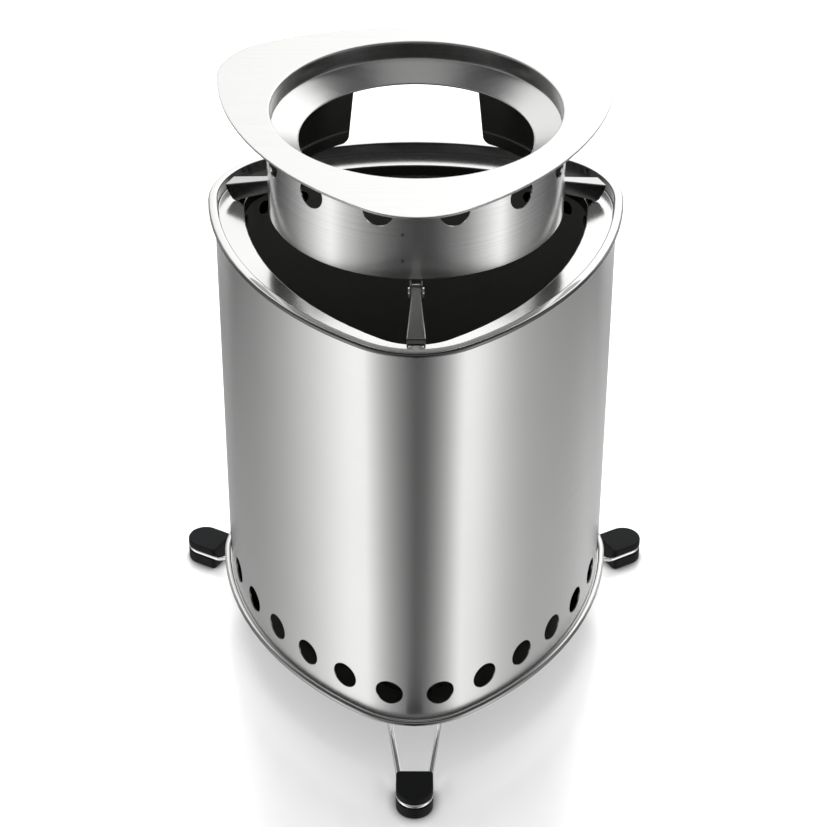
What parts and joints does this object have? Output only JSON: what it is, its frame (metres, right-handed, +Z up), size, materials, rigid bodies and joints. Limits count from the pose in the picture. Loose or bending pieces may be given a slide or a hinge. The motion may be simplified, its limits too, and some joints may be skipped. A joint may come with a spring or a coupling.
{
  "type": "smokeless fire pit",
  "caption": "Double-walled rounded-triangle smokeless fire pit on folding wire legs, with vent holes and a lift-off round pot ring on hinged arms.",
  "frame": {"origin": "centre of the bounding box at ground level, with the legs open", "axes": "+Z up; -Y towards the front corner of the rounded triangle; +X to the right"},
  "size_m": [0.2688, 0.252, 0.3367],
  "materials": {
    "brushed_steel_body": "brushed stainless steel, brushed along the height of the wall",
    "polished_steel": "bright, nearly mirror-like stainless steel",
    "sooted_steel": "stainless steel in the dark inside of the fire chamber",
    "satin_steel": "pale satin stainless steel",
    "plain_steel": "smooth stainless sheet steel",
    "bright_wire": "bright drawn stainless wire",
    "black_rubber": "matt black rubber"
  },
  "bodies": {
    "body": {"base_pan": "brushed_steel_body", "outer_shell": "brushed_steel_body", "rim_ring": "polished_steel", "fire_chamber": "sooted_steel", "leg_bracket_front": "plain_steel", "leg_bracket_right": "plain_steel", "leg_bracket_left": "plain_steel"},
    "front_leg": {"leg_wire_front": "bright_wire", "leg_foot_front": "black_rubber"},
    "right_leg": {"leg_wire_right": "bright_wire", "leg_foot_right": "black_rubber"},
    "left_leg": {"leg_wire_left": "bright_wire", "leg_foot_left": "black_rubber"},
    "grate": {"fire_grate": "sooted_steel"},
    "ash_tray": {"ash_pan": "plain_steel"},
    "pot_ring": {"ring_plate": "satin_steel", "ring_collar": "brushed_steel_body", "arm_bracket_front": "plain_steel", "arm_bracket_right": "plain_steel", "arm_bracket_left": "plain_steel", "arm_pin_front": "plain_steel", "arm_pin_right": "plain_steel", "arm_pin_left": "plain_steel"},
    "front_arm": {"arm_front": "plain_steel"},
    "right_arm": {"arm_right": "plain_steel"},
    "left_arm": {"arm_left": "plain_steel"}
  },
  "joints": [
    {"name": "front_leg_fold", "type": "hinge", "parent": "body", "child": "front_leg", "pos_m": [0, -0.05581, 0.0349], "axis": [1, 0, 0], "range_deg": [0, 130]},
    {"name": "right_leg_fold", "type": "hinge", "parent": "body", "child": "right_leg", "pos_m": [0.07231, 0.06944, 0.0349], "axis": [-0.5, 0.866, 0], "range_deg": [0, 130]},
    {"name": "left_leg_fold", "type": "hinge", "parent": "body", "child": "left_leg", "pos_m": [-0.07231, 0.06944, 0.0349], "axis": [-0.5, -0.866, 0], "range_deg": [0, 130]},
    {"name": "ring_lift", "type": "slide", "parent": "body", "child": "pot_ring", "axis": [0, 0, 1], "range_m": [0, 0.15]},
    {"name": "front_arm_fold", "type": "hinge", "parent": "pot_ring", "child": "front_arm", "pos_m": [0, -0.04891, 0.2753], "axis": [1, 0, 0], "range_deg": [0, 130]},
    {"name": "right_arm_fold", "type": "hinge", "parent": "pot_ring", "child": "right_arm", "pos_m": [0.06942, 0.06007, 0.2753], "axis": [-0.4226, 0.9063, 0], "range_deg": [0, 130]},
    {"name": "left_arm_fold", "type": "hinge", "parent": "pot_ring", "child": "left_arm", "pos_m": [-0.06942, 0.06007, 0.2753], "axis": [-0.4226, -0.9063, 0], "range_deg": [0, 130]},
    {"name": "grate_lift", "type": "slide", "parent": "body", "child": "grate", "axis": [0, 0, 1], "range_m": [0, 0.15]},
    {"name": "ash_pan_lift", "type": "slide", "parent": "body", "child": "ash_tray", "axis": [0, 0, 1], "range_m": [0, 0.135]}
  ],
  "couplings": [
    {"joint": "front_arm_fold", "follows": "ring_lift", "rad_per_m": 15.12},
    {"joint": "right_arm_fold", "follows": "ring_lift", "rad_per_m": 15.12},
    {"joint": "left_arm_fold", "follows": "ring_lift", "rad_per_m": 15.12},
    {"joint": "ash_pan_lift", "follows": "grate_lift", "ratio": 0.9}
  ]
}
